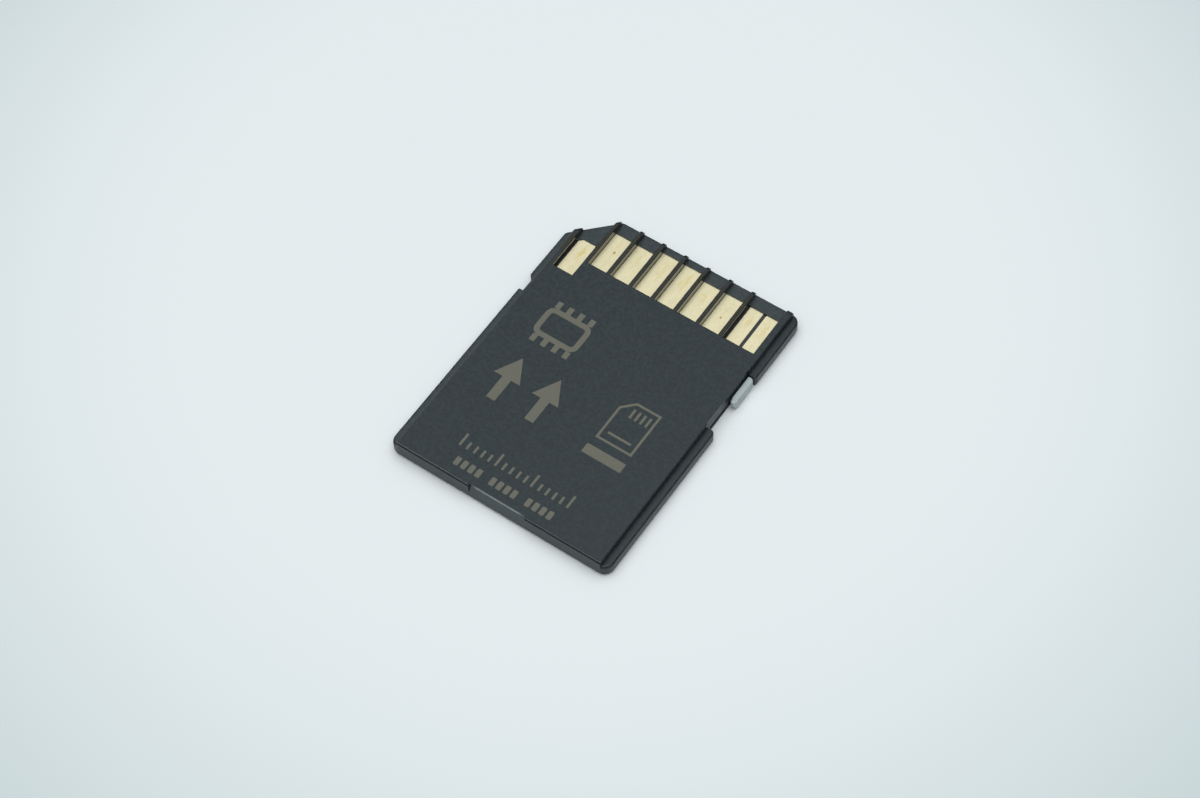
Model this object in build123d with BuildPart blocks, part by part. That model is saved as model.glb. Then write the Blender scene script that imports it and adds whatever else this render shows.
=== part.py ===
"""Full-size memory card: two moulded half shells, a circuit board, nine contacts and a write-protect slider.

The card lies label side down. X runs across it, +Y points to the contact end and +Z is the contact side.
All sizes are in millimetres.
"""

import os
from math import sqrt

from build123d import *

# Card outline and thickness
card_width = 24.0
card_length = 32.0
card_thickness = 2.1
corner_cut = 4.0
corner_radius = 1.0
cut_end_radius = 0.5

# The thin edges that run in the reader's guides
guide_thickness = 1.4
guide_width = 0.8
guide_edge_radius = 0.25
label_edge_radius = 0.35

# Where the two half shells meet, and the walls they leave
parting_height = 0.7
floor_thickness = 0.3
front_wall = 0.45
side_wall = 1.2
rear_wall = 2.4
cut_wall = 0.5

# Shallow seat for a label on the face that lies down
label_recess = 0.08
label_side_margin = 2.0
label_front_margin = 4.0
label_rear_margin = 2.0
label_corner_radius = 1.2

# Circuit board, pads and the room left around them
board_thickness = 0.35
board_clearance = 0.05
board_corner_radius = 0.4
board_ledge = 0.5
lip_thickness = 0.1
pad_cover_gap = 0.02
pad_thickness = 0.03
pad_side_gap = 0.03
pad_tuck = 0.25
narrow_pad_width = 1.4

# Contacts across the card: the ninth lies by the cut corner, then the first to the eighth
even_contact_count = 6
ninth_from_edge = 2.625
eighth_from_edge = 2.25
seventh_spacing = 1.75
sixth_spacing = 2.375

long_contact_numbers = (3, 4)
narrow_contact_numbers = (7, 8)
corner_contact_number = 9

# Openings over the contacts, measured from the front edge and from the cut corner
window_lip = 1.44
long_window_lip = 0.84
ninth_window_lip = 1.12
window_rear_from_front = 6.1
ninth_rear_from_front = 8.08
ninth_window_corner = 0.55

# Raised panel of the contact side, its ribs between the contacts and its rear edge
rib_width = 0.42
rib_front_height = 0.2
front_setback = 0.12
left_border = 0.6
right_border = 0.66
panel_edge_radius = 0.1
panel_corner_radius = 0.2
panel_skin = 0.45
rear_step = 0.13
rear_rim_drop = 0.25
thumb_width = 6.1
thumb_depth = 0.3
thumb_edge_radius = 0.12

# Stiffening walls inside the raised panel
pocket_columns = 3
pocket_rows = 3
pocket_wall = 0.8
pocket_margin = 0.9

# Latch notch in the left edge, measured from the front edge
latch_from_front = 9.8
latch_length = 1.9
latch_depth = 0.75
latch_mouth_radius = 0.15

# Write-protect notch in the right edge and the slider that runs in it
protect_from_front = 7.9
protect_length = 6.85
protect_depth = 0.88
protect_mouth_radius = 0.4
mouth_relief = 0.02
slider_length = 3.3
slider_end_gap = 0.08
slider_wall_gap = 0.13
slider_fit_gap = 0.06
slider_inset = 0.12
knob_lift = 0.1
knob_drop = 0.1
knob_taper = 0.2
knob_taper_length = 0.55
knob_corner_radius = 0.36
knob_tip_radius = 0.12
knob_edge_radius = 0.12
knob_end_radius = 0.9
neck_length = 2.3
foot_depth = 0.42

# Components on the label side of the board
component_clearance = 0.1
component_spacing = 1.2
chip_edge = 0.06
flash_width = 11.0
flash_length = 15.0
controller_size = 4.6
pin_one_diameter = 0.8
pin_one_depth = 0.05
pin_one_inset = 1.2
passive_length = 1.0
passive_width = 0.5
passive_pitch = 2.0
terminal_length = 0.25
terminal_step = 0.02
resistor_height = 0.35
capacitor_count = 3
resistor_count = 4

# Heights worked out from the sizes above
cover_underside = guide_thickness - lip_thickness
board_top = cover_underside - pad_cover_gap - pad_thickness
board_bottom = board_top - board_thickness
chip_height = board_bottom - floor_thickness - component_clearance
rib_nose_radius = card_thickness - guide_thickness - rib_front_height

# Places across and along the card
half_width = card_width / 2
half_length = card_length / 2
panel_half_width = half_width - guide_width
panel_rear = -half_length + rear_step
rib_front = half_length - front_setback
cut_line = half_length + half_width - corner_cut
bay_left = -panel_half_width + left_border
bay_right = panel_half_width - right_border
window_front = half_length - window_lip
long_window_front = half_length - long_window_lip
ninth_window_front = cut_line + bay_left - ninth_window_lip
window_rear = half_length - window_rear_from_front
ninth_window_rear = half_length - ninth_rear_from_front

# Contact centres in the order of their numbers: the first six are evenly spaced from the ninth
ninth_contact = -half_width + ninth_from_edge
eighth_contact = half_width - eighth_from_edge
seventh_contact = eighth_contact - seventh_spacing
contact_pitch = (seventh_contact - sixth_spacing - ninth_contact) / even_contact_count
contact_centres = [ninth_contact + contact_pitch * number for number in range(1, even_contact_count + 1)]
contact_centres += [seventh_contact, eighth_contact, ninth_contact]

# Ribs midway between neighbours, the last one beside the seventh contact
rib_centres = [ninth_contact + contact_pitch * (number + 0.5) for number in range(even_contact_count + 1)]
rib_walls = [(centre - rib_width / 2, centre + rib_width / 2) for centre in rib_centres]
pad_width = contact_pitch - rib_width - 2 * pad_side_gap

# Notches and the slider's path
latch_front = half_length - latch_from_front
protect_wall = half_width - protect_depth
protect_front = half_length - protect_from_front
slider_front = protect_front - slider_end_gap
slider_middle = slider_front - slider_length / 2
slider_travel = protect_length - slider_length - 2 * slider_end_gap

# Board edges and the components' places on it
board_side = half_width - side_wall - board_clearance
board_front = half_length - front_wall - board_clearance
board_rear = -half_length + rear_wall + board_clearance
board_cut = cut_line - sqrt(2) * (cut_wall + board_clearance)
chip_row_width = flash_width + component_spacing + controller_size
flash_centre_x = (flash_width - chip_row_width) / 2
flash_centre_y = board_rear + board_ledge + component_spacing + flash_length / 2
controller_centre_x = (chip_row_width - controller_size) / 2
controller_centre_y = flash_centre_y
capacitor_row_y = controller_centre_y + controller_size / 2 + component_spacing
resistor_row_y = flash_centre_y + flash_length / 2 + component_spacing


def card_outline():
    """Plan shape of the card, with its cut corner."""
    with BuildSketch() as outline:
        with BuildLine():
            Polyline(
                (-half_width, -half_length),
                (half_width, -half_length),
                (half_width, half_length),
                (-half_width + corner_cut, half_length),
                (-half_width, half_length - corner_cut),
                close=True,
            )
        make_face()
        corners = [
            (-half_width, -half_length, corner_radius),
            (half_width, -half_length, corner_radius),
            (half_width, half_length, corner_radius),
            (-half_width + corner_cut, half_length, cut_end_radius),
            (-half_width, half_length - corner_cut, cut_end_radius),
        ]
        for x, y, radius in corners:
            fillet(outline.vertices().sort_by_distance((x, y, 0))[0], radius)
    return outline.sketch


def notch_plan(depth, front, length, mouth_radius):
    """Plan shape of a notch in the right edge, flared at its mouth to round the guide edge off."""
    mouth = half_width + mouth_relief
    with BuildSketch() as notch:
        with Locations((half_width - depth, front)):
            Rectangle(depth + 2 * mouth_relief, length, align=(Align.MIN, Align.MAX))
        with Locations((mouth, front - length / 2)):
            Rectangle(depth, length + 4 * mouth_radius, align=(Align.MIN, Align.CENTER))
        for end in (front, front - length):
            fillet(notch.vertices().sort_by_distance((mouth, end, 0))[0], mouth_radius)
    return notch.sketch


def board_outline(growth):
    """Plan shape of the circuit board, moved outwards by the growth on every side."""
    side = board_side + growth
    front = board_front + growth
    rear = board_rear - growth
    cut = board_cut + sqrt(2) * growth
    with BuildSketch() as outline:
        with BuildLine():
            Polyline(
                (-side, rear),
                (side, rear),
                (side, front),
                (front - cut, front),
                (-side, cut - side),
                close=True,
            )
        make_face()
        fillet(outline.vertices(), board_corner_radius)
    return outline.sketch


def window_spans():
    """Left, right, rear and front limits of each opening over the contacts, from the cut corner across."""
    spans = [(bay_left, rib_walls[0][0], ninth_window_rear, ninth_window_front)]
    for number, (wall, next_wall) in enumerate(zip(rib_walls, rib_walls[1:]), start=1):
        front = long_window_front if number in long_contact_numbers else window_front
        spans.append((wall[1], next_wall[0], window_rear, front))
    spans.append((rib_walls[-1][1], bay_right, window_rear, window_front))
    return spans


def nose_edges(block):
    """Top edges across the front ends of the ribs."""
    top_edges = block.faces().sort_by(Axis.Z)[-1].edges()
    forward_edges = top_edges.filter_by_position(Axis.Y, window_rear + rib_width, half_length)
    return forward_edges - top_edges.filter_by(Axis.Y)


# Front shell: the label-side half, a shallow tray with a tongue that locates the other half
with BuildPart() as front_shell:
    with BuildSketch():
        add(card_outline())
    extrude(amount=parting_height)
    fillet(front_shell.faces().sort_by(Axis.Z)[0].edges(), label_edge_radius)
    with BuildSketch(Plane.XY.offset(parting_height)):
        add(board_outline(0))
    extrude(amount=board_bottom - parting_height)
    # Room for the components that hang below the board
    with BuildSketch(Plane.XY.offset(floor_thickness)):
        add(board_outline(-board_ledge))
    extrude(amount=card_thickness, mode=Mode.SUBTRACT)
    # Slot through the right wall for the slider's neck and foot
    slot_length = neck_length + slider_travel + 2 * slider_fit_gap
    slot_depth = half_width - board_side + board_ledge
    with BuildSketch(Plane.XY.offset(floor_thickness)):
        with Locations((half_width, slider_middle + neck_length / 2 + slider_fit_gap)):
            Rectangle(slot_depth, slot_length, align=(Align.MAX, Align.MAX))
    extrude(amount=card_thickness, mode=Mode.SUBTRACT)
    # Latch notch in the left edge and write-protect notch in the right edge
    with BuildSketch():
        add(notch_plan(latch_depth, latch_front, latch_length, latch_mouth_radius))
        mirror(about=Plane.YZ, mode=Mode.REPLACE)
        add(notch_plan(protect_depth, protect_front, protect_length, protect_mouth_radius))
    extrude(amount=card_thickness, mode=Mode.SUBTRACT)
    # Shallow seat for the label
    with BuildSketch():
        with Locations((0, (label_rear_margin - label_front_margin) / 2)):
            RectangleRounded(
                card_width - 2 * label_side_margin,
                card_length - label_front_margin - label_rear_margin,
                label_corner_radius,
            )
    extrude(amount=label_recess, mode=Mode.SUBTRACT)
front_shell.part.label = "front_shell"

# Raised panel of the back shell, with the borders and ribs that run forward from it between the contacts
with BuildPart() as raised_panel:
    with BuildSketch(Plane.XY.offset(parting_height)) as panel:
        with Locations((0, panel_rear)):
            Rectangle(2 * panel_half_width, window_rear - panel_rear, align=(Align.CENTER, Align.MIN))
        fillet(panel.vertices().group_by(Axis.Y)[0], panel_corner_radius)
        # Open step for the ninth contact beside the cut corner
        with Locations((bay_left, ninth_window_rear)):
            Rectangle(
                rib_centres[0] - bay_left,
                card_length,
                align=(Align.MIN, Align.MIN),
                mode=Mode.SUBTRACT,
            )
        # The left border and the first rib end parallel to the cut corner
        for left, right in ((-panel_half_width, bay_left), rib_walls[0]):
            rib_cut = min(cut_line - sqrt(2) * front_setback, rib_front - right)
            with BuildLine():
                Polyline(
                    (left, ninth_window_rear),
                    (right, ninth_window_rear),
                    (right, rib_cut + right),
                    (left, rib_cut + left),
                    close=True,
                )
            make_face()
        # The other ribs and the right border run to the front edge
        for left, right in rib_walls[1:] + [(bay_right, panel_half_width)]:
            with Locations((left, ninth_window_rear)):
                Rectangle(right - left, rib_front - ninth_window_rear, align=(Align.MIN, Align.MIN))
    extrude(amount=card_thickness - parting_height)
    # Round noses in front, then a small radius along the other top edges
    fillet(nose_edges(raised_panel), rib_nose_radius)
    top_edges = raised_panel.faces().sort_by(Axis.Z)[-1].edges()
    fillet(top_edges - nose_edges(raised_panel), panel_edge_radius)

# Back shell: the contact-side half, with the raised panel and the comb of ribs over the contacts
with BuildPart() as back_shell:
    with BuildSketch(Plane.XY.offset(parting_height)):
        add(card_outline())
    extrude(amount=guide_thickness - parting_height)
    fillet(back_shell.faces().sort_by(Axis.Z)[-1].edges(), guide_edge_radius)
    # Rim along the rear edge, a little below the panel
    with BuildSketch(Plane.XY.offset(parting_height)):
        with Locations((0, -half_length)):
            Rectangle(2 * panel_half_width, 2 * rear_step, align=(Align.CENTER, Align.MIN))
        add(card_outline(), mode=Mode.INTERSECT)
    extrude(amount=card_thickness - rear_rim_drop - parting_height)
    # The raised panel with its ribs
    add(raised_panel.part)
    # Seat for the board, then the openings that lay its contacts bare
    with BuildSketch(Plane.XY.offset(parting_height)):
        add(board_outline(board_clearance))
    extrude(amount=cover_underside - parting_height, mode=Mode.SUBTRACT)
    with BuildSketch(Plane.XY.offset(parting_height)) as windows:
        for left, right, rear, front in window_spans():
            with Locations((left, rear)):
                Rectangle(right - left, front - rear, align=(Align.MIN, Align.MIN))
        ninth_corner = windows.vertices().sort_by_distance((bay_left, ninth_window_front, parting_height))[0]
        chamfer(ninth_corner, ninth_window_corner)
    extrude(amount=card_thickness, mode=Mode.SUBTRACT)
    # Pockets that keep the panel's wall thin
    pocket_width = 2 * (panel_half_width - pocket_margin)
    pocket_depth = ninth_window_rear - pocket_margin + half_length - rear_wall
    column_pitch = pocket_width / pocket_columns
    row_pitch = pocket_depth / pocket_rows
    with BuildSketch(Plane.XY.offset(cover_underside)):
        with Locations((0, -half_length + rear_wall + pocket_depth / 2)):
            with GridLocations(column_pitch, row_pitch, pocket_columns, pocket_rows):
                Rectangle(column_pitch - pocket_wall, row_pitch - pocket_wall)
    extrude(amount=card_thickness - panel_skin - cover_underside, mode=Mode.SUBTRACT)
    # The same notches, of which the right-hand one also takes a sliver off the panel
    with BuildSketch(Plane.XY.offset(parting_height)):
        add(notch_plan(latch_depth, latch_front, latch_length, latch_mouth_radius))
        mirror(about=Plane.YZ, mode=Mode.REPLACE)
        add(notch_plan(protect_depth, protect_front, protect_length, protect_mouth_radius))
    extrude(amount=card_thickness, mode=Mode.SUBTRACT)
    # Sloping finger-nail recess in the middle of the rear edge
    with BuildSketch(Plane.YZ):
        with BuildLine():
            Polyline(
                (-half_length, parting_height),
                (-half_length + thumb_depth, card_thickness),
                (-half_length, card_thickness),
                close=True,
            )
        make_face()
    extrude(amount=thumb_width / 2, both=True, mode=Mode.SUBTRACT)
    thumb_edge = back_shell.edges().sort_by_distance((0, -half_length + thumb_depth, card_thickness))[0]
    fillet(thumb_edge, thumb_edge_radius)
back_shell.part.label = "back_shell"

# Circuit board
with BuildPart() as circuit_board:
    with BuildSketch(Plane.XY.offset(board_bottom)):
        add(board_outline(0))
    extrude(amount=board_thickness)
circuit_board.part.label = "circuit_board"

# Contact pads: thin gold plates on the board, tucked a little under the shell at both ends
contact_pads = []
for number, centre in enumerate(contact_centres, start=1):
    width = narrow_pad_width if number in narrow_contact_numbers else pad_width
    rear = window_rear
    front = long_window_front if number in long_contact_numbers else window_front
    if number == corner_contact_number:
        rear = ninth_window_rear
        front = ninth_window_front
    with BuildPart() as contact_pad:
        with BuildSketch(Plane.XY.offset(board_top)):
            with Locations((centre, rear - pad_tuck)):
                Rectangle(width, front - rear + 2 * pad_tuck, align=(Align.CENTER, Align.MIN))
        extrude(amount=pad_thickness)
    contact_pad.part.label = f"contact_pad_{number}"
    contact_pads.append(contact_pad.part)

# Write-protect slider: a knob in the notch, a neck through the slot and a foot held behind the wall
knob_inner = protect_wall + slider_wall_gap
knob_outer = half_width - slider_inset
knob_rear = slider_front - slider_length
neck_bottom = floor_thickness + slider_fit_gap
foot_outer = board_side + board_clearance - slider_fit_gap
foot_inner = foot_outer - foot_depth
with BuildPart() as write_protect_slider:
    with BuildSketch(Plane.XY.offset(knob_lift)) as knob_plan:
        with BuildLine():
            Polyline(
                (knob_inner, slider_front),
                (knob_inner, knob_rear + knob_taper_length),
                (knob_inner + knob_taper, knob_rear),
                (knob_outer, knob_rear),
                (knob_outer, slider_front),
                close=True,
            )
        make_face()
        fillet(knob_plan.vertices().group_by(Axis.X)[-1], knob_corner_radius)
        fillet(knob_plan.vertices().sort_by_distance((knob_inner, slider_front, 0))[0], knob_tip_radius)
    extrude(amount=guide_thickness - knob_drop - knob_lift)
    fillet(write_protect_slider.faces().sort_by(Axis.Z)[-1].edges(), knob_edge_radius)
    # Both ends are well rounded towards the label side
    with BuildSketch(Plane.YZ.offset(knob_inner)) as knob_side:
        with Locations((slider_middle, knob_lift)):
            Rectangle(slider_length, guide_thickness, align=(Align.CENTER, Align.MIN))
        fillet(knob_side.vertices().group_by(Axis.Y)[0], knob_end_radius)
    extrude(amount=knob_outer - knob_inner, mode=Mode.INTERSECT)
    with BuildSketch(Plane.XY.offset(neck_bottom)):
        with Locations((foot_inner, slider_middle)):
            Rectangle(knob_inner + knob_taper - foot_inner, neck_length, align=(Align.MIN, Align.CENTER))
    extrude(amount=parting_height - slider_fit_gap - neck_bottom)
    with BuildSketch(Plane.XY.offset(neck_bottom)):
        with Locations((foot_inner, slider_middle)):
            Rectangle(foot_depth, neck_length, align=(Align.MIN, Align.CENTER))
    extrude(amount=board_bottom - slider_fit_gap - neck_bottom)
write_protect_slider.part.label = "write_protect_slider"

# Chips on the label side of the board, each with its first pin marked by a round dimple
chips = []
for name, x, y, width, length in (
    ("flash_memory_chip", flash_centre_x, flash_centre_y, flash_width, flash_length),
    ("controller_chip", controller_centre_x, controller_centre_y, controller_size, controller_size),
):
    with BuildPart() as chip:
        with BuildSketch(Plane.XY.offset(board_bottom)):
            with Locations((x, y)):
                Rectangle(width, length)
        extrude(amount=-chip_height)
        chamfer(chip.faces().sort_by(Axis.Z)[0].edges(), chip_edge)
        with BuildSketch(Plane.XY.offset(board_bottom - chip_height)):
            with Locations((x - width / 2 + pin_one_inset, y + length / 2 - pin_one_inset)):
                Circle(pin_one_diameter / 2)
        extrude(amount=pin_one_depth, mode=Mode.SUBTRACT)
    chip.part.label = name
    chips.append(chip.part)

# Capacitors and resistors: a body between two slightly larger end terminals
passives = []
for name, count, height, row_x, row_y in (
    ("supply_capacitor", capacitor_count, chip_height, controller_centre_x, capacitor_row_y),
    ("pull_up_resistor", resistor_count, resistor_height, flash_centre_x, resistor_row_y),
):
    for number in range(count):
        x = row_x + (number - (count - 1) / 2) * passive_pitch
        with BuildPart() as passive:
            with BuildSketch(Plane.XY.offset(board_bottom)):
                with Locations((x, row_y)):
                    with GridLocations(passive_length - terminal_length, 0, 2, 1):
                        Rectangle(terminal_length, passive_width)
            extrude(amount=-height)
            with BuildSketch(Plane.XY.offset(board_bottom - terminal_step)):
                with Locations((x, row_y)):
                    Rectangle(passive_length - terminal_length, passive_width - 2 * terminal_step)
            extrude(amount=-(height - 2 * terminal_step))
        passive.part.label = f"{name}_{number + 1}"
        passives.append(passive.part)

os.makedirs("parts", exist_ok=True)
export_step(front_shell.part, "parts/front_shell.step")
export_step(back_shell.part, "parts/back_shell.step")
export_step(circuit_board.part, "parts/circuit_board.step")
export_step(write_protect_slider.part, "parts/write_protect_slider.step")
for piece in contact_pads + chips + passives:
    export_step(piece, f"parts/{piece.label}.step")
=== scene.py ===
# %% [markdown]
# # A memory card, contact side up
#
# A full-size memory card is a thin black shell with nine gold contacts along one end and a small pale slider in its
# right edge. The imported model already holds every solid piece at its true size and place, so this lesson only
# dresses it: a camera and a table, a finish for each piece, and the fine laser marks that are too thin for solids.

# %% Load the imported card
import math

import bmesh
import bpy
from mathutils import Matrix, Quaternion, Vector


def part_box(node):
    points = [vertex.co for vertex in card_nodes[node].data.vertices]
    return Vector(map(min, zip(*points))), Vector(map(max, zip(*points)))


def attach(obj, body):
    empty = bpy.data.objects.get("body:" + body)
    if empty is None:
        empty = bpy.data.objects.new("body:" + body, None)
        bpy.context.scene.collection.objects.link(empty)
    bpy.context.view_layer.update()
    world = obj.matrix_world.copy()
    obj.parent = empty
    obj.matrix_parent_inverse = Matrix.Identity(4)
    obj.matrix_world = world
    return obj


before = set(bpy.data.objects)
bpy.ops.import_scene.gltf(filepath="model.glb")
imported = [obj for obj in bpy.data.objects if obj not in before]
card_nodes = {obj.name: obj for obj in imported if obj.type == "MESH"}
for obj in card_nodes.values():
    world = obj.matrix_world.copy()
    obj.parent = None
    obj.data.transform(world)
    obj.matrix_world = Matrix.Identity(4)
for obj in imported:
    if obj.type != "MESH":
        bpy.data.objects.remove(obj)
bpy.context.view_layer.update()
mm = 0.001

# %% [markdown]
# ## Camera
#
# The card is seen from its right rear corner and from well above, with a long lens that keeps its edges nearly
# parallel. An empty target with a constraint could aim the camera, but a point and a direction are enough here: the
# track quaternion turns the camera's own -Z axis to the point, and a last small turn about that axis gives the tilt.

# %% Place the camera
camera_place = Vector((77.66, -104.46, 205.89)) * mm
aim_point = Vector((1.22, -1.44, 1.05)) * mm
camera_tilt = math.radians(-2.52)
towards_card = aim_point - camera_place
camera_turn = towards_card.to_track_quat("-Z", "Y") @ Quaternion((0, 0, 1), camera_tilt)

bpy.ops.object.select_all(action="DESELECT")
bpy.ops.object.camera_add(location=camera_place, rotation=camera_turn.to_euler())
camera = bpy.context.object
camera.data.sensor_fit = "HORIZONTAL"
camera.data.sensor_width = 36
camera.data.lens = 79.36
camera.data.clip_start = 0.01
bpy.context.scene.camera = camera
print("camera distance in mm:", round(towards_card.length / mm, 1))

# %% [markdown]
# ## Node helpers
#
# Every finish below is a small tree of shader nodes. A few helpers keep the cells short: they start a material, add a
# node with its sockets filled in, and do small sums and blends. A socket value that is itself a socket becomes a link.
# Many finishes change from place to place on the card, so some helpers tell where a place lies: above or below a
# limit, with a smooth step between the two.

# %% Helpers that add nodes
def start_material(name):
    """Make a material and return it with its node tree and its shader."""
    material = bpy.data.materials.new(name)
    material.use_nodes = True
    return material, material.node_tree, material.node_tree.nodes["Principled BSDF"]


def set_sockets(tree, node, sockets):
    """Set or link the input sockets of a node, given by name or number."""
    for key, value in sockets.items():
        if isinstance(value, bpy.types.NodeSocket):
            tree.links.new(value, node.inputs[key])
        else:
            node.inputs[key].default_value = value


def add_node(tree, kind, sockets, **settings):
    """Add a shader node with its settings and its input sockets."""
    node = tree.nodes.new("ShaderNode" + kind)
    for key, value in settings.items():
        setattr(node, key, value)
    set_sockets(tree, node, sockets)
    return node


print("helpers that add nodes:", [helper.__name__ for helper in (start_material, set_sockets, add_node)])

# %% Helpers for sums and blends
def calculate(tree, operation, first, second=0.0):
    """One step of arithmetic on two values."""
    return add_node(tree, "Math", {0: first, 1: second}, operation=operation).outputs[0]


def multiply(tree, product, *factors):
    """Multiply two or more values."""
    for factor in factors:
        product = calculate(tree, "MULTIPLY", product, factor)
    return product


def mix_values(tree, share, first, second):
    """Blend two values: none of the second at share 0, all of it at share 1."""
    return add_node(tree, "Mix", {0: share, 2: first, 3: second}).outputs[0]


def mix_colours(tree, share, first, second):
    """Blend two colours in the same way."""
    return add_node(tree, "Mix", {0: share, 6: first, 7: second}, data_type="RGBA").outputs[2]


print("helpers for sums and blends:", [helper.__name__ for helper in (calculate, multiply, mix_values, mix_colours)])

# %% Helpers for places
def place_on_piece(tree):
    """The place on the piece, in the card's own frame."""
    return add_node(tree, "TexCoord", {}).outputs["Object"]


def sides_of(tree, place):
    """The X, Y and Z of a place."""
    return add_node(tree, "SeparateXYZ", {0: place}).outputs


def ease(tree, value, start, end, low=0.0, high=1.0):
    """Go smoothly from low to high while the value goes from start to end."""
    sockets = {"Value": value, "From Min": start, "From Max": end, "To Min": low, "To Max": high}
    return add_node(tree, "MapRange", sockets, interpolation_type="SMOOTHSTEP").outputs["Result"]


def above(tree, value, limit, step):
    """Zero up to the limit and one from a step above it."""
    return ease(tree, value, limit, limit + step)


def below(tree, value, limit, step):
    """Zero down to the limit and one from a step below it."""
    return ease(tree, value, limit, limit - step)


def vary(tree, share, low, high):
    """Go from low to high as a share goes from zero to one."""
    return ease(tree, share, 0.0, 1.0, low, high)


print("helpers for places:", [helper.__name__ for helper in (place_on_piece, sides_of, ease, above, below, vary)])

# %% [markdown]
# ## Light
#
# The card lies in even, slightly cool light from above. The shadow round it is narrow and soft, and its upright edges
# are dark, so nearly all the light comes from overhead and little from the sides. A large soft lamp could do that, but
# its own outline would show in the gold. A plain dome has no outline: it is brightest at the top and grows darker with
# a power of the height. The lower half mirrors the upper one, so that the card can be seen from below too.

# %% Set the view and the light
bpy.context.scene.view_settings.view_transform = "Standard"
light_tint = (0.95, 1.0, 1.02)
horizon_brightness = 0.06
top_brightness = 3.05
narrowing = 5.0
rise = top_brightness - horizon_brightness

room = bpy.data.worlds.new("soft_room")
room.use_nodes = True
bpy.context.scene.world = room
tree = room.node_tree
direction = add_node(tree, "TexCoord", {}).outputs["Generated"]
height = calculate(tree, "ABSOLUTE", sides_of(tree, direction)["Z"])
strength = multiply(tree, calculate(tree, "POWER", height, narrowing), rise)
set_sockets(tree, tree.nodes["Background"], {
    "Color": (*light_tint, 1),
    "Strength": calculate(tree, "ADD", strength, horizon_brightness),
})
# A flat sheet gathers 2 / (power + 2) of a dome that falls off with that power of the height.
light_level = horizon_brightness + rise * 2 / (narrowing + 2)
print("a white sheet on the table would have the brightness", round(light_level, 2))

# %% [markdown]
# ## Table
#
# The table is smooth, white and plain, and its colour is painted darker away from a place under the card's left front,
# as a painted fall-off of light.
# It sits a hair below the card's lower face, so that the two never share a plane. The card is looked at from below
# too, so from there the table lets the eye through, and where the card covers it, it lets the light through. A hole
# in the table could do that, but its edge would have to follow the card's notches; a mask only has to stay inside
# them.

# %% Where the card covers the table
cover_half_width = 11.5 * mm
cover_half_length = 15.4 * mm
cover_cut_corner = 23.3 * mm
notches_middle = 4.7 * mm
notches_half_length = 3.8 * mm
half_width_at_notches = 10.7 * mm
notch_step = 0.2 * mm


def covered_share(tree, place):
    """One where the card covers the table, well inside its outline and its notches, and zero elsewhere."""
    sides = sides_of(tree, place)
    from_notches = calculate(tree, "ABSOLUTE", calculate(tree, "SUBTRACT", sides["Y"], notches_middle))
    notches_end = notches_half_length + notch_step
    half_width = ease(
        tree, from_notches, notches_half_length, notches_end, half_width_at_notches, cover_half_width
    )
    across = calculate(tree, "LESS_THAN", calculate(tree, "ABSOLUTE", sides["X"]), half_width)
    along = calculate(tree, "LESS_THAN", calculate(tree, "ABSOLUTE", sides["Y"]), cover_half_length)
    to_corner = calculate(tree, "SUBTRACT", sides["Y"], sides["X"])
    behind_cut = calculate(tree, "LESS_THAN", to_corner, cover_cut_corner)
    return multiply(tree, across, along, behind_cut)


print("covered table in mm:", round(2 * cover_half_width / mm, 1), "x", round(2 * cover_half_length / mm, 1))

# %% Lay the table
table_radius = 1.5
table_sink = 0.01 * mm
# The table's colour darkens away from this place: a painted fall-off of light.
painted_light_centre = Vector((-8.0, 10.0, 0.0)) * mm
falloff_start, falloff_end = 36 * mm, 112 * mm
painted_lit_white, painted_dim_white = (0.890, 0.915, 0.915, 1), (0.457, 0.568, 0.556, 1)

bpy.ops.object.select_all(action="DESELECT")
bpy.ops.mesh.primitive_circle_add(vertices=96, radius=table_radius, fill_type="NGON", location=(0, 0, -table_sink))
table_top = bpy.context.object
table_top.name = "table_top"

table_finish, tree, shader = start_material("white_table")
place = place_on_piece(tree)
away = add_node(tree, "VectorMath", {0: place, 1: painted_light_centre}, operation="DISTANCE").outputs["Value"]
painted_light_falloff = ease(tree, away, falloff_start, falloff_end)
set_sockets(tree, shader, {
    "Base Color": mix_colours(tree, painted_light_falloff, painted_lit_white, painted_dim_white),
    "Roughness": 0.6,
    "Specular IOR Level": 0.15,
})
underside = add_node(tree, "NewGeometry", {}).outputs["Backfacing"]
see_through = add_node(tree, "BsdfTransparent", {}).outputs[0]
open_share = calculate(tree, "MAXIMUM", underside, covered_share(tree, place))
surface = add_node(tree, "MixShader", {0: open_share, 1: shader.outputs[0], 2: see_through}).outputs[0]
tree.links.new(surface, tree.nodes["Material Output"].inputs["Surface"])
table_top.data.materials.append(table_finish)
print("table radius in mm:", round(table_top.dimensions.x / 2 / mm))

# %% [markdown]
# ## Shared effects
#
# Three effects come back in several finishes. Moulds for such shells are spark eroded, which leaves a fine even grain.
# Sliding in and out of readers leaves faint scratches along the card. And a spring contact that wipes over gold leaves
# a short darker track. The nodes of each could be made again in every material, but a node group is built once and
# placed with its own values.

# %% Helpers for node groups
number_socket = "NodeSocketFloat"
vector_socket = "NodeSocketVector"


def start_group(name, inputs, outputs):
    """Make a node group with named sockets and return it with its input and output sockets."""
    group = bpy.data.node_groups.new(name, "ShaderNodeTree")
    for socket, kind in inputs.items():
        group.interface.new_socket(socket, in_out="INPUT", socket_type=kind)
    for socket, kind in outputs.items():
        group.interface.new_socket(socket, in_out="OUTPUT", socket_type=kind)
    return group, group.nodes.new("NodeGroupInput").outputs, group.nodes.new("NodeGroupOutput").inputs


def use_group(tree, group, sockets):
    """Place a node group in a material and return its outputs."""
    node = tree.nodes.new("ShaderNodeGroup")
    node.node_tree = group
    set_sockets(tree, node, sockets)
    return node.outputs


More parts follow.
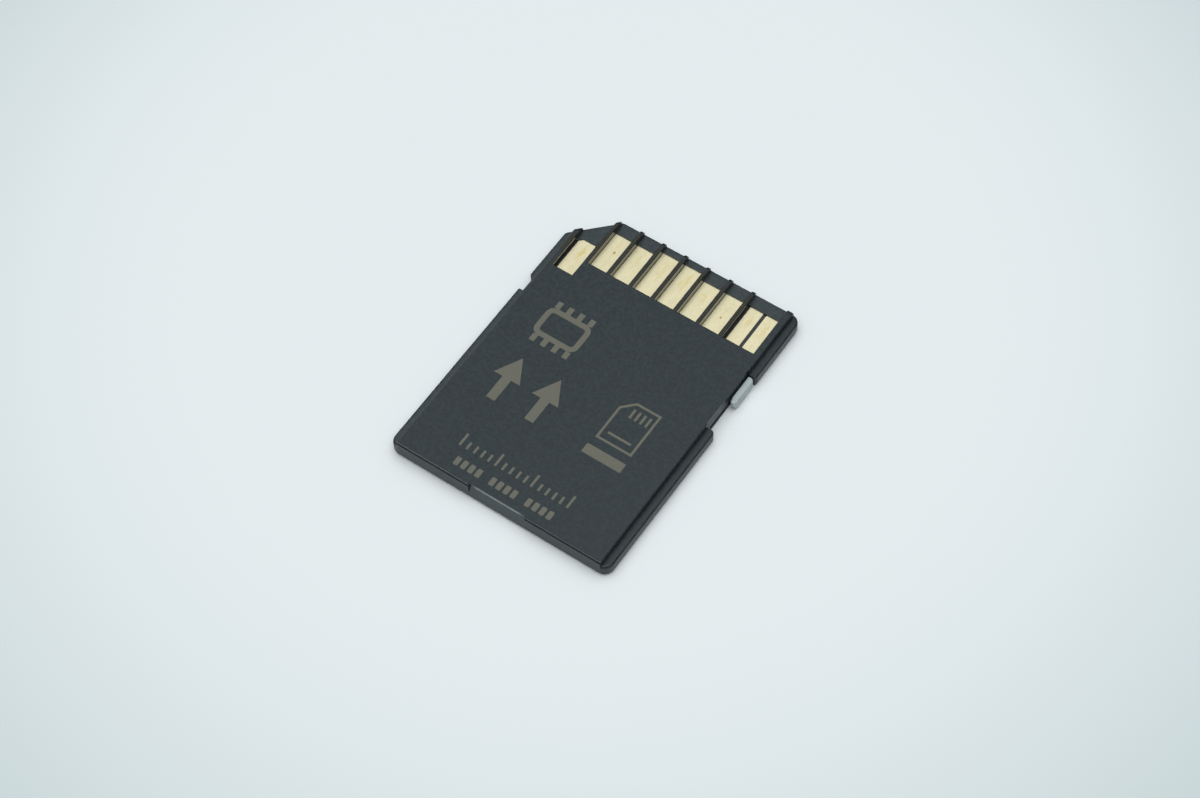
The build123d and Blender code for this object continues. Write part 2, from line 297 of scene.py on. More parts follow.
def noise(tree, place, scale, detail):
    """A cloudy pattern between zero and one."""
    return add_node(tree, "TexNoise", {"Vector": place, "Scale": scale, "Detail": detail}).outputs[0]


print("helpers for groups:", [helper.__name__ for helper in (start_group, use_group, noise)])

# %% Mould grain
patch_scale = 0.22
mottle_dark, mottle_light = 0.82, 1.18
mould_grain, given, result = start_group(
    "mould_grain",
    {"Place": vector_socket, "Grain size": number_socket},
    {"Height": number_socket, "Mottle": number_socket},
)
grain_scale = calculate(mould_grain, "DIVIDE", 1.0, given["Grain size"])
fine = noise(mould_grain, given["Place"], grain_scale, detail=3.0)
coarse = noise(mould_grain, given["Place"], multiply(mould_grain, grain_scale, patch_scale), detail=2.0)
mottle = calculate(mould_grain, "ADD", fine, coarse)
mould_grain.links.new(fine, result["Height"])
mould_grain.links.new(ease(mould_grain, mottle, mottle_dark, mottle_light), result["Mottle"])


def grain_at(tree, place, size):
    """The mould grain of a piece, with grains of this size."""
    return use_group(tree, mould_grain, {"Place": place, "Grain size": size})


print("group:", mould_grain.name)

# %% Sliding scratches
worn_areas_per_metre = 260.0
line_start, line_full = 0.60, 0.74
area_start, area_full = 0.42, 0.66
sliding_scratches, given, result = start_group(
    "sliding_scratches",
    {"Place": vector_socket, "Line width": number_socket, "Line length": number_socket},
    {"Mask": number_socket},
)
sides = sides_of(sliding_scratches, given["Place"])
across = calculate(sliding_scratches, "DIVIDE", sides["X"], given["Line width"])
along = calculate(sliding_scratches, "DIVIDE", sides["Y"], given["Line length"])
stretched = add_node(sliding_scratches, "CombineXYZ", {"X": across, "Y": along}).outputs[0]
lines = noise(sliding_scratches, stretched, scale=1.0, detail=2.0)
thin_lines = ease(sliding_scratches, lines, line_start, line_full)
areas = noise(sliding_scratches, given["Place"], worn_areas_per_metre, detail=1.0)
worn_areas = ease(sliding_scratches, areas, area_start, area_full)
sliding_scratches.links.new(multiply(sliding_scratches, thin_lines, worn_areas), result["Mask"])


def scratches_at(tree, place, width, length):
    """The share of scratches on a piece, with lines of this width and length."""
    sockets = {"Place": place, "Line width": width, "Line length": length}
    return use_group(tree, sliding_scratches, sockets)["Mask"]


print("group:", sliding_scratches.name)

# %% Wiped track
ripples_per_metre = 4000.0
ripple_low, ripple_high, ripple_depth = 0.2, 0.8, 0.35
track_rim, track_core = 1.0, 0.3
streaks_per_metre = 9000.0
streak_stretch = (1.0, 0.08, 1.0)
streak_start, streak_full, faintest_streak = 0.38, 0.58, 0.2
wiped_track, given, result = start_group(
    "wiped_track",
    {
        "Place": vector_socket,
        "Across": number_socket,
        "Along": number_socket,
        "Half width": number_socket,
        "Half length": number_socket,
    },
    {"Mask": number_socket},
)
sides = sides_of(wiped_track, given["Place"])
offsets = []
for side, middle, half in (("X", "Across", "Half width"), ("Y", "Along", "Half length")):
    offset = calculate(wiped_track, "SUBTRACT", sides[side], given[middle])
    offset = calculate(wiped_track, "DIVIDE", offset, given[half])
    offsets.append(calculate(wiped_track, "POWER", calculate(wiped_track, "ABSOLUTE", offset), 2.0))
from_middle = calculate(wiped_track, "SQRT", calculate(wiped_track, "ADD", *offsets))
ripple = noise(wiped_track, given["Place"], ripples_per_metre, detail=2.0)
uneven = ease(wiped_track, ripple, ripple_low, ripple_high, -ripple_depth, ripple_depth)
inside = ease(wiped_track, calculate(wiped_track, "ADD", from_middle, uneven), track_rim, track_core)
stretched = add_node(wiped_track, "VectorMath", {0: given["Place"], 1: streak_stretch}, operation="MULTIPLY")
streaks = noise(wiped_track, stretched.outputs[0], streaks_per_metre, detail=2.0)
streak_share = ease(wiped_track, streaks, streak_start, streak_full, faintest_streak, 1.0)
wiped_track.links.new(multiply(wiped_track, inside, streak_share), result["Mask"])


def track_at(tree, place, across, along, half_width, half_length):
    """The share of one wiped track, its place and size given in millimetres."""
    return use_group(tree, wiped_track, {
        "Place": place,
        "Across": across * mm,
        "Along": along * mm,
        "Half width": half_width * mm,
        "Half length": half_length * mm,
    })["Mask"]


print("group:", wiped_track.name)

# %% [markdown]
# ## Zones of the shell
#
# Both half shells are moulded in the same black plastic, but the mould isn't the same all over. Its raised panel is
# spark eroded, and the edges and walls below that are a little smoother. The sides of the ribs slide out of deep slots
# in the mould, which are polished for that, so they mirror the gold beside them. Several materials on the faces would
# do that too, but each zone can be told by its place: the panel by its height, and the sides of the ribs because
# nothing else in the bay of the contacts is as high.

# %% Where the panel, the ribs and the guides are
shell_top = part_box("back_shell")[1].z
guide_top = 1.4 * mm
guide_reach = 0.03 * mm
panel_start = shell_top - 0.012 * mm
rib_side_start = guide_top + 0.01 * mm
bay_left, bay_right, bay_rear = -10.70 * mm, 10.60 * mm, 7.85 * mm
bay_step = 0.05 * mm
window_rear = 9.88 * mm
nose_start, nose_end = 14.9 * mm, 15.2 * mm
last_rib = 9.0 * mm


def panel_share(tree, sides):
    """One on the top of the raised panel and zero below it."""
    return above(tree, sides["Z"], panel_start, step=0.010 * mm)


def rib_side_share(tree, sides):
    """One on the sides of the ribs in the bay of the contacts and zero elsewhere."""
    return multiply(
        tree,
        above(tree, sides["Z"], rib_side_start, step=0.02 * mm),
        above(tree, sides["X"], bay_left, bay_step),
        below(tree, sides["X"], bay_right, bay_step),
        above(tree, sides["Y"], bay_rear, bay_step),
    )


def rib_top_share(tree, sides):
    """One beside the contacts, left of the last rib, where only the ribs are as high, and zero elsewhere."""
    return multiply(
        tree,
        above(tree, sides["Y"], window_rear, step=0.04 * mm),
        below(tree, sides["Y"], nose_end, nose_end - nose_start),
        below(tree, sides["X"], last_rib, step=0.1 * mm),
    )


def guide_top_share(tree, sides):
    """One at the height of the guides' upper face and zero above and below it."""
    from_top = calculate(tree, "ABSOLUTE", calculate(tree, "SUBTRACT", sides["Z"], guide_top))
    return below(tree, from_top, guide_reach, step=0.01 * mm)


print("panel and guides in mm above the table:", round(shell_top / mm, 2), round(guide_top / mm, 2))

# %% [markdown]
# ## Painted highlights and painted shade
#
# A used card is rubbed where it is handled. Finger nails pull it out by the recess in its rear edge and leave fine
# lines on that face; its paler tone is painted light, and a bright line along its upper edge is a painted highlight.
# The upper edge of the panel, most at the rear, the left guide and the front lip get painted highlights too. The rim
# behind the panel and the right guide lie in the shade and are painted darker, as painted shade. A map of these could
# be painted by hand; these few places follow straight edges, so limits are enough.

# %% Where the finger nail rubs, and where the recess gets painted light
recess_half_width, painted_light_free_half_width = 3.06 * mm, 3.05 * mm
recess_front = -15.62 * mm
parting = 0.70 * mm
nail_edge_y, nail_edge_z = -15.74 * mm, shell_top - 0.18 * mm
nail_edge_reach = 0.14 * mm
nail_edge_half_length = 2.9 * mm


def nail_recess_share(tree, sides):
    """One on the sloping recess in the rear edge and zero elsewhere."""
    return multiply(
        tree,
        below(tree, calculate(tree, "ABSOLUTE", sides["X"]), recess_half_width, step=0.06 * mm),
        below(tree, sides["Y"], recess_front, step=0.06 * mm),
        above(tree, sides["Z"], parting, step=0.05 * mm),
    )


# The bright line along the recess's upper edge is a painted highlight.
def nail_edge_highlight_share(tree, sides):
    """One along the upper edge of that recess, where a highlight is painted, fading to zero towards its ends."""
    profile = add_node(tree, "CombineXYZ", {"Y": sides["Y"], "Z": sides["Z"]}).outputs[0]
    edge = (0.0, nail_edge_y, nail_edge_z)
    from_edge = add_node(tree, "VectorMath", {0: profile, 1: edge}, operation="DISTANCE").outputs["Value"]
    along = below(tree, calculate(tree, "ABSOLUTE", sides["X"]), nail_edge_half_length, step=0.8 * mm)
    return multiply(tree, below(tree, from_edge, nail_edge_reach, step=0.10 * mm), along)


def beside_recess(tree, sides):
    """One to the left and right of that recess and zero along it."""
    return above(tree, calculate(tree, "ABSOLUTE", sides["X"]), painted_light_free_half_width, step=0.15 * mm)


print("recess width in mm:", round(2 * recess_half_width / mm, 1))

# %% Where the painted highlights and the painted shade go
rear_edge, left_edge, right_guide = -15.74 * mm, -10.98 * mm, 11.0 * mm
rear_edge_low, rear_edge_high = shell_top - 0.165 * mm, shell_top - 0.025 * mm
left_edge_low = shell_top - 0.06 * mm
# Strengths of the painted highlights on the rear edge, the left edge and the guides, and of the painted shade on the
# right guide.
rear_highlight_left, rear_highlight_right = 0.80, 0.60
rear_highlight_reach = 6 * mm
left_highlight, guide_highlight, right_shade = 0.08, 0.04, 0.4
rim_front, rim_top = -15.84 * mm, 1.87 * mm
rim_low = rim_top - 0.15 * mm


def painted_edge_highlight_share(tree, sides):
    """How much painted highlight the panel's upper edge, the left guide and the front lip get, the rear edge most."""
    at_rear = multiply(
        tree,
        above(tree, sides["Z"], rear_edge_low, step=0.020 * mm),
        below(tree, sides["Z"], rear_edge_high, step=0.025 * mm),
        below(tree, sides["Y"], rear_edge, step=0.04 * mm),
        beside_recess(tree, sides),
        ease(tree, sides["X"], -rear_highlight_reach, rear_highlight_reach, rear_highlight_left, rear_highlight_right),
    )
    on_edge = above(tree, sides["Z"], left_edge_low, step=0.02 * mm)
    at_left = multiply(tree, below(tree, sides["X"], left_edge, step=0.04 * mm), on_edge, left_highlight)
    before_right = below(tree, sides["X"], right_guide, step=0.1 * mm)
    on_guide = multiply(tree, guide_top_share(tree, sides), before_right, guide_highlight)
    return calculate(tree, "MAXIMUM", at_rear, calculate(tree, "MAXIMUM", at_left, on_guide))


def shaded_share(tree, sides):
    """How much painted shade darkens the rim behind the panel and the right guide."""
    on_rim = multiply(
        tree,
        above(tree, sides["Z"], rim_low, step=0.05 * mm),
        below(tree, sides["Z"], rim_top, step=0.01 * mm),
        below(tree, sides["Y"], rim_front, step=0.02 * mm),
        beside_recess(tree, sides),
    )
    at_right = above(tree, sides["X"], right_guide, step=0.1 * mm)
    on_right_guide = multiply(tree, guide_top_share(tree, sides), at_right, right_shade)
    return calculate(tree, "MAXIMUM", on_rim, on_right_guide)


print("rub of the rear edge, left and right:", rear_highlight_left, rear_highlight_right)

# %% [markdown]
# ## Shell plastic
#
# The plastic itself is nearly black. The grain spreads the light on the panel, which therefore looks dull grey. The
# tops of the ribs, which the springs of the reader pass, are a little warmer. The sides of the ribs get a warm tint, a
# painted reflection of the gold beside them, and their front ends are painted nearly black as painted shade. The
# rubbed face of the recess has fine lines along the edge, on a paler tone that is painted light. The zones, the
# painted light and shade and the scratches are laid over the plain black one after the other, as coats of paint would
# be.

# %% Colour of the half shells
dark_black, light_black = (0.005, 0.013, 0.017, 1), (0.024, 0.036, 0.040, 1)
# The warm tint of the rib sides is a painted reflection of the gold, and the near black of their fronts is painted
# shade.
rib_side_black_and_reflection, nose_shade_black = (0.015, 0.012, 0.007, 1), (0.003, 0.004, 0.004, 1)
rib_top_black, shaded_black = (0.019, 0.019, 0.014, 1), (0.002, 0.003, 0.003, 1)
# The pale tones of the recess face are painted light; the nail lines laid over them are wear.
nail_dark, nail_light = (0.048, 0.068, 0.072, 1), (0.094, 0.113, 0.118, 1)
# Greys of the painted highlights on the panel's upper edge and on the recess's upper edge.
painted_edge_highlight_grey, nail_edge_highlight_grey = (0.27, 0.30, 0.31, 1), (0.41, 0.43, 0.43, 1)
scratch_grey, scratch_strength = (0.16, 0.18, 0.19, 1), 0.10

shell_plastic, tree, shader = start_material("black_shell_plastic")
place = place_on_piece(tree)
sides = sides_of(tree, place)
on_panel = panel_share(tree, sides)
below_panel = calculate(tree, "SUBTRACT", 1.0, on_panel)
on_rib_side = multiply(tree, rib_side_share(tree, sides), below_panel)
grain = grain_at(tree, place, size=0.07 * mm)
scratches = scratches_at(tree, place, width=0.05 * mm, length=1.6 * mm)

# The front ends of the rib sides are painted nearly black, as painted shade.
on_nose = above(tree, sides["Y"], nose_start, nose_end - nose_start)
rib_side_reflection_and_shade = mix_colours(tree, on_nose, rib_side_black_and_reflection, nose_shade_black)
turned = add_node(tree, "CombineXYZ", {"X": sides["Z"], "Y": sides["X"]}).outputs[0]
nail_lines = scratches_at(tree, turned, width=0.06 * mm, length=1.6 * mm)
nail_face_wear_and_light = mix_colours(tree, nail_lines, nail_dark, nail_light)
broken = vary(tree, grain["Mottle"], 0.7, 1.0)
# Besides the wear and the scratches, the coats hold a painted reflection, painted highlights and painted shade.
coats = (
    (on_rib_side, rib_side_reflection_and_shade),
    (multiply(tree, on_panel, rib_top_share(tree, sides)), rib_top_black),
    (painted_edge_highlight_share(tree, sides), painted_edge_highlight_grey),
    (shaded_share(tree, sides), shaded_black),
    (nail_recess_share(tree, sides), nail_face_wear_and_light),
    (multiply(tree, nail_edge_highlight_share(tree, sides), broken), nail_edge_highlight_grey),
    (multiply(tree, scratches, scratch_strength), scratch_grey),
)
shell_colour = mix_colours(tree, grain["Mottle"], dark_black, light_black)
for share, tone in coats:
    shell_colour = mix_colours(tree, share, shell_colour, tone)
print("coats over the plain black:", len(coats))

# %% Finish the half shells
def fine_bump(tree, height, strength, depth):
    """A surface normal with a fine relief of this depth."""
    return add_node(tree, "Bump", {"Strength": strength, "Distance": depth, "Height": height}).outputs[0]


def give_finish(node_name, material):
    """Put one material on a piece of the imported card."""
    slots = card_nodes[node_name].data.materials
    slots.clear()
    slots.append(material)


edge_roughness = vary(tree, grain["Mottle"], 0.33, 0.43)
panel_roughness = vary(tree, grain["Mottle"], 0.42, 0.58)
polished_roughness = vary(tree, grain["Mottle"], 0.10, 0.16)
roughness = mix_values(tree, on_panel, edge_roughness, panel_roughness)
grain_height = multiply(tree, grain["Height"], vary(tree, on_panel, 0.2, 1.0))
set_sockets(tree, shader, {
    "Base Color": shell_colour,
    "Roughness": mix_values(tree, on_rib_side, roughness, polished_roughness),
    "Specular IOR Level": 0.4,
    "Coat Weight": multiply(tree, on_rib_side, 0.65),
    "Coat Roughness": 0.1,
    "Normal": fine_bump(tree, grain_height, strength=0.6, depth=0.006 * mm),
})
for half_shell in ("back_shell", "front_shell"):
    give_finish(half_shell, shell_plastic)
print("shell finish on", shell_plastic.users, "pieces")

# %% [markdown]
# ## Gold contacts
#
# The contacts are copper, plated with nickel and a thin pale hard gold. They are nearly flat, with faint lengthwise
# lines from rolling. On a used card each one carries the track of the reader's spring, a little browner than the rest,
# and two have a small brown pit. The tracks differ, so every contact gets its own material from one recipe, with the
# places of its tracks as the values.

# %% Where each contact is worn
# Across, along, half width and half length of each track, and across, along and radius of each pit, in millimetres.
wear_tracks = {
    1: [(-6.85, 13.55, 0.26, 1.00), (-6.84, 12.40, 0.13, 0.40)],
    2: [(-4.38, 13.00, 0.24, 1.05)],
    3: [(-1.74, 13.30, 0.26, 1.60), (-2.19, 13.00, 0.20, 0.45)],
    4: [(0.79, 13.50, 0.24, 1.70), (0.31, 13.15, 0.18, 0.55)],
    5: [(3.10, 12.85, 0.20, 0.85), (2.87, 13.24, 0.25, 0.14)],
    6: [(5.62, 12.75, 0.17, 1.00), (5.85, 13.95, 0.17, 0.22)],
    7: [(8.05, 13.00, 0.28, 1.20)],
    8: [(9.75, 13.20, 0.28, 1.45)],
    9: [(-9.36, 10.85, 0.32, 1.15)],
}
brown_pits = {1: (-6.78, 12.64, 0.20), 6: (5.61, 11.99, 0.12)}
print("tracks:", sum(len(tracks) for tracks in wear_tracks.values()), "pits:", len(brown_pits))

# %% Finish the contacts
dark_gold, light_gold = (0.700, 0.623, 0.409, 1), (0.790, 0.715, 0.493, 1)
rolled_gold, wiped_gold, pit_brown = (0.69, 0.59, 0.345, 1), (0.70, 0.555, 0.24, 1), (0.40, 0.20, 0.05, 1)
rolled_strength, track_strength, pit_strength = 0.35, 0.9, 1.6
along_the_contact = (1.0, 0.3, 1.0)


def gold_finish(number):
    """Make the finish of one contact, with its own tracks and pits."""
    material, tree, shader = start_material(f"contact_gold_{number}")
    place = place_on_piece(tree)
    rolled = scratches_at(tree, place, width=0.045 * mm, length=2.4 * mm)
    lengthwise = add_node(tree, "VectorMath", {0: place, 1: along_the_contact}, operation="MULTIPLY").outputs[0]
    mottle = grain_at(tree, lengthwise, size=0.12 * mm)["Mottle"]
    colour = mix_colours(tree, mottle, dark_gold, light_gold)
    colour = mix_colours(tree, multiply(tree, rolled, rolled_strength), colour, rolled_gold)
    for track in wear_tracks[number]:
        share = multiply(tree, track_at(tree, place, *track), track_strength)
        colour = mix_colours(tree, share, colour, wiped_gold)
    if number in brown_pits:
        across, along, radius = brown_pits[number]
        share = multiply(tree, track_at(tree, place, across, along, radius, radius), pit_strength)
        colour = mix_colours(tree, share, colour, pit_brown)
    set_sockets(tree, shader, {
        "Base Color": colour,
        "Metallic": 1.0,
        "Roughness": vary(tree, mottle, 0.48, 0.56),
        "Normal": fine_bump(tree, rolled, strength=0.25, depth=0.002 * mm),
    })
    return material


for number in wear_tracks:
    give_finish(f"contact_pad_{number}", gold_finish(number))
print("contacts finished:", len(wear_tracks))

# %% [markdown]
# ## Slider plastic
#
# The write-protect slider is a pale grey plastic with a fine grain, and rubbed lines where a finger nail pushes it.
# Plastic of this kind lets a little light in, which could be made with subsurface scattering, but the tab is so small
# that a plain pale tone looks the same.

# %% Finish the slider
pale_dark, pale_light, pale_rubbed = (0.410, 0.465, 0.467, 1), (0.460, 0.510, 0.512, 1), (0.36, 0.405, 0.41, 1)
rub_strength = 0.4

slider_plastic, tree, shader = start_material("pale_slider_plastic")
place = place_on_piece(tree)
grain = grain_at(tree, place, size=0.09 * mm)
rubbed = multiply(tree, scratches_at(tree, place, width=0.05 * mm, length=0.6 * mm), rub_strength)
pale_grey = mix_colours(tree, grain["Mottle"], pale_dark, pale_light)
set_sockets(tree, shader, {
    "Base Color": mix_colours(tree, rubbed, pale_grey, pale_rubbed),
    "Roughness": vary(tree, grain["Mottle"], 0.36, 0.48),
    "Normal": fine_bump(tree, grain["Height"], strength=0.4, depth=0.004 * mm),
})
give_finish("write_protect_slider", slider_plastic)
print("slider finish:", slider_plastic.name)

# %% [markdown]
# ## Circuit board
#
# The board is glass cloth in resin under a nearly black solder mask. Only slivers of it show beside two contacts, but
# it is a piece of its own, so it gets the weave of its cloth: two sets of bands at right angles, as a faint bump and
# a change of tone under a glossy mask.

# %% Finish the board
waves_per_scale = 3.2
thread_width, thread_wobble = 0.45 * mm, 0.6
mask_dark, mask_light = (0.007, 0.009, 0.008, 1), (0.012, 0.016, 0.013, 1)


def bands(tree, place, width, distortion, direction):
    """Soft parallel bands of this width, across X or Y."""
    sockets = {"Vector": place, "Scale": 1 / width / waves_per_scale, "Distortion": distortion}
    return add_node(tree, "TexWave", sockets, bands_direction=direction).outputs["Fac"]


board_finish, tree, shader = start_material("dark_solder_mask")
place = place_on_piece(tree)
cloth = multiply(tree, *(bands(tree, place, thread_width, thread_wobble, direction) for direction in "XY"))
set_sockets(tree, shader, {
    "Base Color": mix_colours(tree, cloth, mask_dark, mask_light),
    "Roughness": vary(tree, cloth, 0.28, 0.40),
    "Normal": fine_bump(tree, cloth, strength=0.3, depth=0.004 * mm),
})
give_finish("circuit_board", board_finish)
print("board finish:", board_finish.name)

# %% [markdown]
# ## Parts on the board
#
# The two chips are black filled resin with a speckled surface. The capacitors are brown ceramic and the resistors are
# white ceramic with a black printed face, and both have tinned ends. The ends could be pieces of their own, but they
# are flush with the body, so one more group tells them from it by the distance from the middle of the piece.

# %% Finish the chips
resin_dark, resin_light = (0.013, 0.013, 0.014, 1), (0.030, 0.030, 0.031, 1)

chip_resin, tree, shader = start_material("chip_resin")
grain = grain_at(tree, place_on_piece(tree), size=0.06 * mm)
set_sockets(tree, shader, {
    "Base Color": mix_colours(tree, grain["Mottle"], resin_dark, resin_light),
    "Roughness": vary(tree, grain["Mottle"], 0.52, 0.66),
    "Normal": fine_bump(tree, grain["Height"], strength=0.5, depth=0.005 * mm),
})
for chip in ("flash_memory_chip", "controller_chip"):
    give_finish(chip, chip_resin)
print("chips finished:", chip_resin.users)

# %% Tinned ends
tin_blend = 0.02 * mm
tinned_ends, given, result = start_group(
    "tinned_ends",
    {"Place": vector_socket, "Middle": number_socket, "Half body": number_socket},
    {"Mask": number_socket},
)
sides = sides_of(tinned_ends, given["Place"])
from_middle = calculate(tinned_ends, "ABSOLUTE", calculate(tinned_ends, "SUBTRACT", sides["X"], given["Middle"]))
past_body = calculate(tinned_ends, "SUBTRACT", from_middle, given["Half body"])
tinned_ends.links.new(above(tinned_ends, past_body, -tin_blend / 2, tin_blend), result["Mask"])
print("group:", tinned_ends.name)

# %% Finish the capacitors and resistors
half_body_share = 0.25
print_limit = 0.05 * mm
dark_tin, light_tin = (0.62, 0.62, 0.60, 1), (0.74, 0.74, 0.71, 1)


def ceramic_finish(node_name, dark_tone, light_tone, printed_tone):
    """Make the finish of one ceramic part with tinned ends and a printed lower face."""
    low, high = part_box(node_name)
    material, tree, shader = start_material(node_name + "_finish")
    place = place_on_piece(tree)
    ends = use_group(tree, tinned_ends, {
        "Place": place,
        "Middle": (low.x + high.x) / 2,
        "Half body": (high.x - low.x) * half_body_share,
    })["Mask"]
    grain = grain_at(tree, place, size=0.05 * mm)
    printed = below(tree, sides_of(tree, place)["Z"], low.z + print_limit, step=0.02 * mm)
    ceramic = mix_colours(tree, grain["Mottle"], dark_tone, light_tone)
    body = mix_colours(tree, printed, ceramic, printed_tone)
    tin = mix_colours(tree, grain["Mottle"], dark_tin, light_tin)
    set_sockets(tree, shader, {
        "Base Color": mix_colours(tree, ends, body, tin),
        "Metallic": ends,
        "Roughness": vary(tree, grain["Mottle"], 0.34, 0.50),
        "Normal": fine_bump(tree, grain["Height"], strength=0.4, depth=0.004 * mm),
    })
    return material


brown = (0.34, 0.20, 0.10, 1)
ceramic_tones = {
    "supply_capacitor": ((0.26, 0.15, 0.08, 1), brown, brown),
    "pull_up_resistor": ((0.58, 0.57, 0.54, 1), (0.70, 0.69, 0.66, 1), (0.016, 0.016, 0.018, 1)),
}
ceramic_parts = [
    (node_name, tones)
    for node_name in sorted(card_nodes)
    for kind, tones in ceramic_tones.items()
    if node_name.startswith(kind)
]
for node_name, tones in ceramic_parts:
    give_finish(node_name, ceramic_finish(node_name, *tones))
print("ceramic parts finished:", len(ceramic_parts))

# %% [markdown]
# ## Laser marks
#
# The panel carries a few plain signs that a laser has lightened: a chip, two arrows that point the way in, a card
# outline over a bar, and two rows of small blocks. A mask in the shell's material could draw them, but as thin plates
# they keep crisp edges at any distance. Each one starts as a flat rectangle on the panel and is cut to shape in edit
# mode. A laser leaves a row of fine lines, and the finish shows them.

# %% Finish of the marks
hatch_width, hatch_wobble = 0.06 * mm, 0.8
mark_dark, mark_light = (0.115, 0.111, 0.085, 1), (0.186, 0.176, 0.135, 1)

laser_mark, tree, shader = start_material("laser_mark")
place = place_on_piece(tree)
hatch = bands(tree, place, hatch_width, hatch_wobble, "Y")
grain = grain_at(tree, place, size=0.08 * mm)
lines = multiply(tree, hatch, vary(tree, grain["Mottle"], 0.6, 1.0))
set_sockets(tree, shader, {
    "Base Color": mix_colours(tree, lines, mark_dark, mark_light),
    "Roughness": vary(tree, grain["Mottle"], 0.50, 0.62),
    "Specular IOR Level": 0.4,
    "Normal": fine_bump(tree, lines, strength=0.4, depth=0.003 * mm),
})
print("mark finish:", laser_mark.name)

# %% Helpers that start and shape a mark
mark_height = 0.006 * mm


def start_mark(name, left, right, rear, front):
    """Start a mark as a flat rectangle on the panel, its sides given in millimetres."""
    bpy.ops.object.select_all(action="DESELECT")
    middle = ((left + right) / 2 * mm, (rear + front) / 2 * mm, shell_top + mark_height)
    bpy.ops.mesh.primitive_plane_add(size=1, location=middle)
    mark = bpy.context.object
    mark.name = name
    mark.scale = ((right - left) * mm, (front - rear) * mm, 1)
    bpy.ops.object.transform_apply(location=True, rotation=True, scale=True)
    return mark


def anywhere(middle):
    """Pass every part of a mark."""
    return True


def select_parts(mark, kind, test=anywhere):
    """In edit mode, select the vertices, edges or faces whose middle, in millimetres, passes the test."""
    bpy.ops.object.mode_set(mode="EDIT")
    bpy.ops.mesh.select_mode(type=kind)
    bpy.ops.mesh.select_all(action="DESELECT")
    shape = bmesh.from_edit_mesh(mark.data)
    parts = {"VERT": shape.verts, "EDGE": shape.edges, "FACE": shape.faces}[kind]
    for part in parts:
        corners = [part] if kind == "VERT" else part.verts
        middle = sum((corner.co for corner in corners), Vector()) / len(corners)
        part.select_set(test(middle / mm))
    bmesh.update_edit_mesh(mark.data)


def shape_corners(mark, size, segments, test=anywhere):
    """Round or cut the corners that pass the test, the size given in millimetres."""
    select_parts(mark, "VERT", test)
    bpy.ops.mesh.bevel(offset=size * mm, segments=segments, affect="VERTICES")


def keep_outline(mark, line_width):
    """Leave only a line along the outline of a mark, its width given in millimetres."""
    select_parts(mark, "FACE")
    bpy.ops.mesh.inset(thickness=line_width * mm)
    bpy.ops.mesh.delete(type="FACE")
    bpy.ops.object.mode_set(mode="OBJECT")


print("mark height in mm:", mark_height / mm)

# %% Helpers that repeat and finish a mark
def repeat(mark, count, step_x=0.0, step_y=0.0):
    """Copy a mark in an even row, its step given in millimetres."""
    bpy.ops.object.mode_set(mode="OBJECT")
    row = mark.modifiers.new("row", "ARRAY")
    row.count = count
    row.use_relative_offset = False
    row.use_constant_offset = True
    row.constant_offset_displace = (step_x * mm, step_y * mm, 0)
    bpy.ops.object.modifier_apply(modifier=row.name)


def finish_mark(mark, *others):
    """Join the parts of a mark, give it thickness and finish, and let it ride on the card."""
    bpy.ops.object.mode_set(mode="OBJECT")
    bpy.ops.object.select_all(action="DESELECT")
    for part in (mark, *others):
        part.select_set(True)
    bpy.context.view_layer.objects.active = mark
    if others:
        bpy.ops.object.join()
    thickness = mark.modifiers.new("thickness", "SOLIDIFY")
    thickness.thickness = 2 * mark_height
    thickness.offset = -1
    bpy.ops.object.modifier_apply(modifier=thickness.name)
    mark.data.materials.append(laser_mark)
    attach(mark, "card")
    print(mark.name, "faces:", len(mark.data.polygons))


print("helpers for rows and marks:", [helper.__name__ for helper in (repeat, finish_mark)])

# %% [markdown]
# ### Chip sign
#
# A square frame with short legs is the plain sign for a chip. The frame is a rectangle with its corners rounded, inset
# by the width of the line and with its middle deleted. Each leg could be drawn by itself, but they are all alike, so
# one is made and repeated along both sides.

# %% Draw the chip sign
chip_sign = start_mark("chip_sign", left=-8.0, right=-3.1, rear=0.6, front=4.0)
shape_corners(chip_sign, size=0.85, segments=6)
keep_outline(chip_sign, line_width=0.55)
chip_legs = start_mark("chip_legs", left=-7.6, right=-7.05, rear=4.0, front=4.8)
repeat(chip_legs, count=4, step_x=1.215)
repeat(chip_legs, count=2, step_y=-4.2)
finish_mark(chip_sign, chip_legs)

# %% [markdown]
# ### Arrows
#
# Two bold arrows show which end goes in first. A stem and a triangle could be joined, but one sheet has no seam. The
# stem is the rectangle; its front edge is extruded twice, spread to the width of the head and then drawn together to
# a point.

# %% Draw the arrows
stem_rear, head_foot, tip = -7.45, -4.85, -2.25
stem_half = 0.48
edge_reach = 0.01
merge_distance = 0.001 * mm


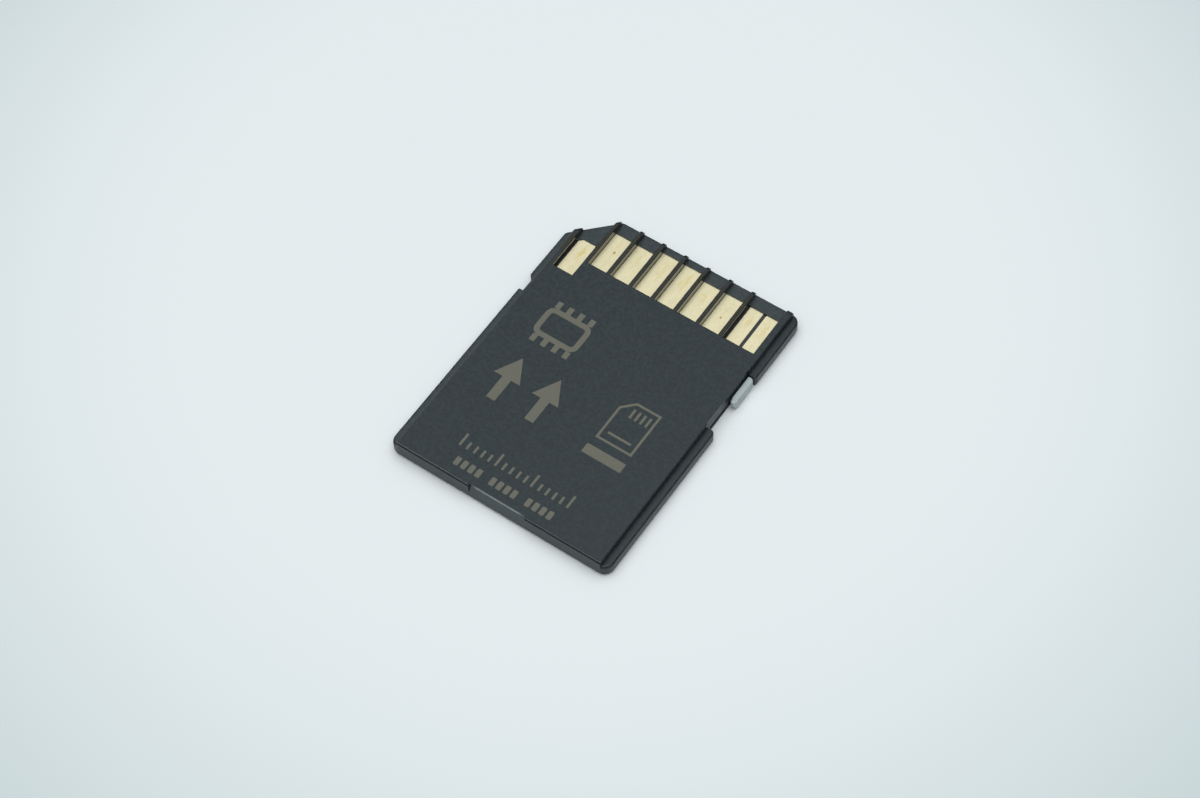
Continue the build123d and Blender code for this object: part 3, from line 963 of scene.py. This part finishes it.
def draw_arrow(name, left, right):
    """Draw one arrow between two sides, pointing to the contacts."""
    middle_x = (left + right) / 2
    arrow = start_mark(name, middle_x - stem_half, middle_x + stem_half, stem_rear, head_foot)
    pivot = (middle_x * mm, head_foot * mm, shell_top)
    select_parts(arrow, "EDGE", lambda middle: middle.y > head_foot - edge_reach)
    bpy.ops.mesh.extrude_region_move()
    bpy.ops.transform.resize(value=((right - left) / 2 / stem_half, 1, 1), center_override=pivot)
    bpy.ops.mesh.extrude_region_move(TRANSFORM_OT_translate={"value": (0, (tip - head_foot) * mm, 0)})
    bpy.ops.transform.resize(value=(0, 1, 1), center_override=pivot)
    bpy.ops.mesh.select_all(action="SELECT")
    bpy.ops.mesh.remove_doubles(threshold=merge_distance)
    bpy.ops.mesh.dissolve_degenerate(threshold=merge_distance)
    bpy.ops.mesh.normals_make_consistent(inside=False)
    finish_mark(arrow)


draw_arrow("arrow_left", left=-8.2, right=-5.3)
draw_arrow("arrow_right", left=-3.93, right=-1.03)

# %% [markdown]
# ### Card outline
#
# A thin outline of the card itself, with one corner cut and a row of short contact lines, stands over a solid bar. The
# outline could be four strips, but a rectangle with one corner cut off and its middle deleted has clean corners.

# %% Draw the card outline and its bar
card_sign = start_mark("card_sign", left=3.5, right=7.4, rear=-5.5, front=-0.45)
shape_corners(card_sign, size=1.2, segments=1, test=lambda middle: middle.x < 4 and middle.y > -1)
keep_outline(card_sign, line_width=0.24)
sign_contacts = start_mark("sign_contacts", left=4.85, right=5.09, rear=-2.2, front=-1.15)
repeat(sign_contacts, count=4, step_x=0.58)
sign_line = start_mark("sign_line", left=4.2, right=6.7, rear=-4.6, front=-4.36)
finish_mark(card_sign, sign_contacts, sign_line)

sign_bar = start_mark("sign_bar", left=3.3, right=7.5, rear=-7.45, front=-6.4)
shape_corners(sign_bar, size=0.08, segments=2)
finish_mark(sign_bar)

# %% [markdown]
# ### Rows of blocks
#
# The last two rows are plain: a scale of short and long ticks, and three groups of small blocks. Text objects could
# make such rows from dashes, but a rectangle and two even steps need no font.

# %% Draw the two rows
tick_step = 0.784
long_tick_step = 3.92
long_ticks = start_mark("tick_scale", left=-6.3, right=-6.06, rear=-13.0, front=-11.6)
repeat(long_ticks, count=4, step_x=long_tick_step)
short_ticks = start_mark("short_ticks", left=-5.516, right=-5.276, rear=-13.0, front=-12.2)
repeat(short_ticks, count=4, step_x=tick_step)
repeat(short_ticks, count=3, step_x=long_tick_step)
finish_mark(long_ticks, short_ticks)

block_row = start_mark("block_row", left=-5.6, right=-5.08, rear=-14.9, front=-14.0)
shape_corners(block_row, size=0.12, segments=3)
repeat(block_row, count=4, step_x=0.78)
repeat(block_row, count=3, step_x=3.9)
finish_mark(block_row)
